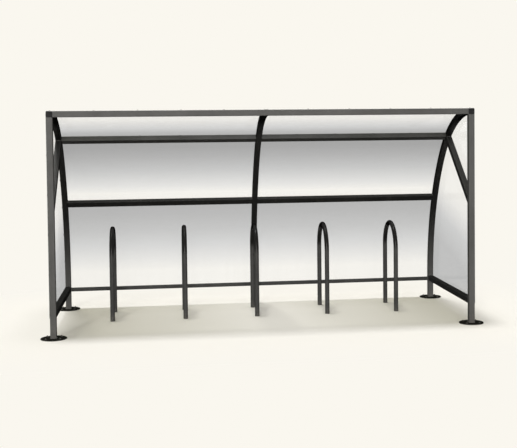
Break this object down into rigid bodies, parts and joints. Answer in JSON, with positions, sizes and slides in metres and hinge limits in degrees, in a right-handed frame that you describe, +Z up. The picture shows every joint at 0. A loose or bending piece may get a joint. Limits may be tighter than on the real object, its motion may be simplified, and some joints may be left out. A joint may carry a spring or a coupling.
{
  "type": "bike shelter",
  "caption": "Open-fronted bicycle shelter: square tube frame with curved hoops, clear curved sheets over roof and back, clear sides, and a row of arched tube stands.",
  "frame": {"origin": "on the ground, at the middle of the footprint that the base plates span", "axes": "+X along the row to the right as seen from the open front, +Y from the open front to the back, +Z up"},
  "size_m": [4.43, 1.86, 2.204],
  "materials": {
    "frame_coat": "dark grey powder coat over galvanised steel, satin",
    "base_coat": "near-black powder coat, satin",
    "stand_coat": "near-black powder coat, semi-gloss",
    "clear_sheet": "clear plastic glazing sheet, glossy",
    "cap_plastic": "moulded black plastic, fine texture"
  },
  "bodies": {
    "root": {"front_base_left": "base_coat", "front_base_right": "base_coat", "front_beam": "frame_coat", "front_post_left": "frame_coat", "front_post_right": "frame_coat", "hoop_cap_left": "cap_plastic", "hoop_cap_right": "cap_plastic", "hoop_centre": "frame_coat", "hoop_centre_foot": "frame_coat", "hoop_left": "frame_coat", "hoop_right": "frame_coat", "knee_brace_left": "frame_coat", "knee_brace_right": "frame_coat", "low_rail": "frame_coat", "lower_back_sheet_left": "clear_sheet", "lower_back_sheet_right": "clear_sheet", "mid_rail_left": "frame_coat", "mid_rail_right": "frame_coat", "purlin_left": "frame_coat", "purlin_right": "frame_coat", "rear_base_left": "base_coat", "rear_base_right": "base_coat", "roof_sheet_left": "clear_sheet", "roof_sheet_right": "clear_sheet", "side_rail_left": "frame_coat", "side_rail_right": "frame_coat", "side_sheet_left": "clear_sheet", "side_sheet_right": "clear_sheet", "stand_1": "stand_coat", "stand_2": "stand_coat", "stand_3": "stand_coat", "stand_4": "stand_coat", "stand_5": "stand_coat", "upper_back_sheet_left": "clear_sheet", "upper_back_sheet_right": "clear_sheet"}
  },
  "joints": []
}
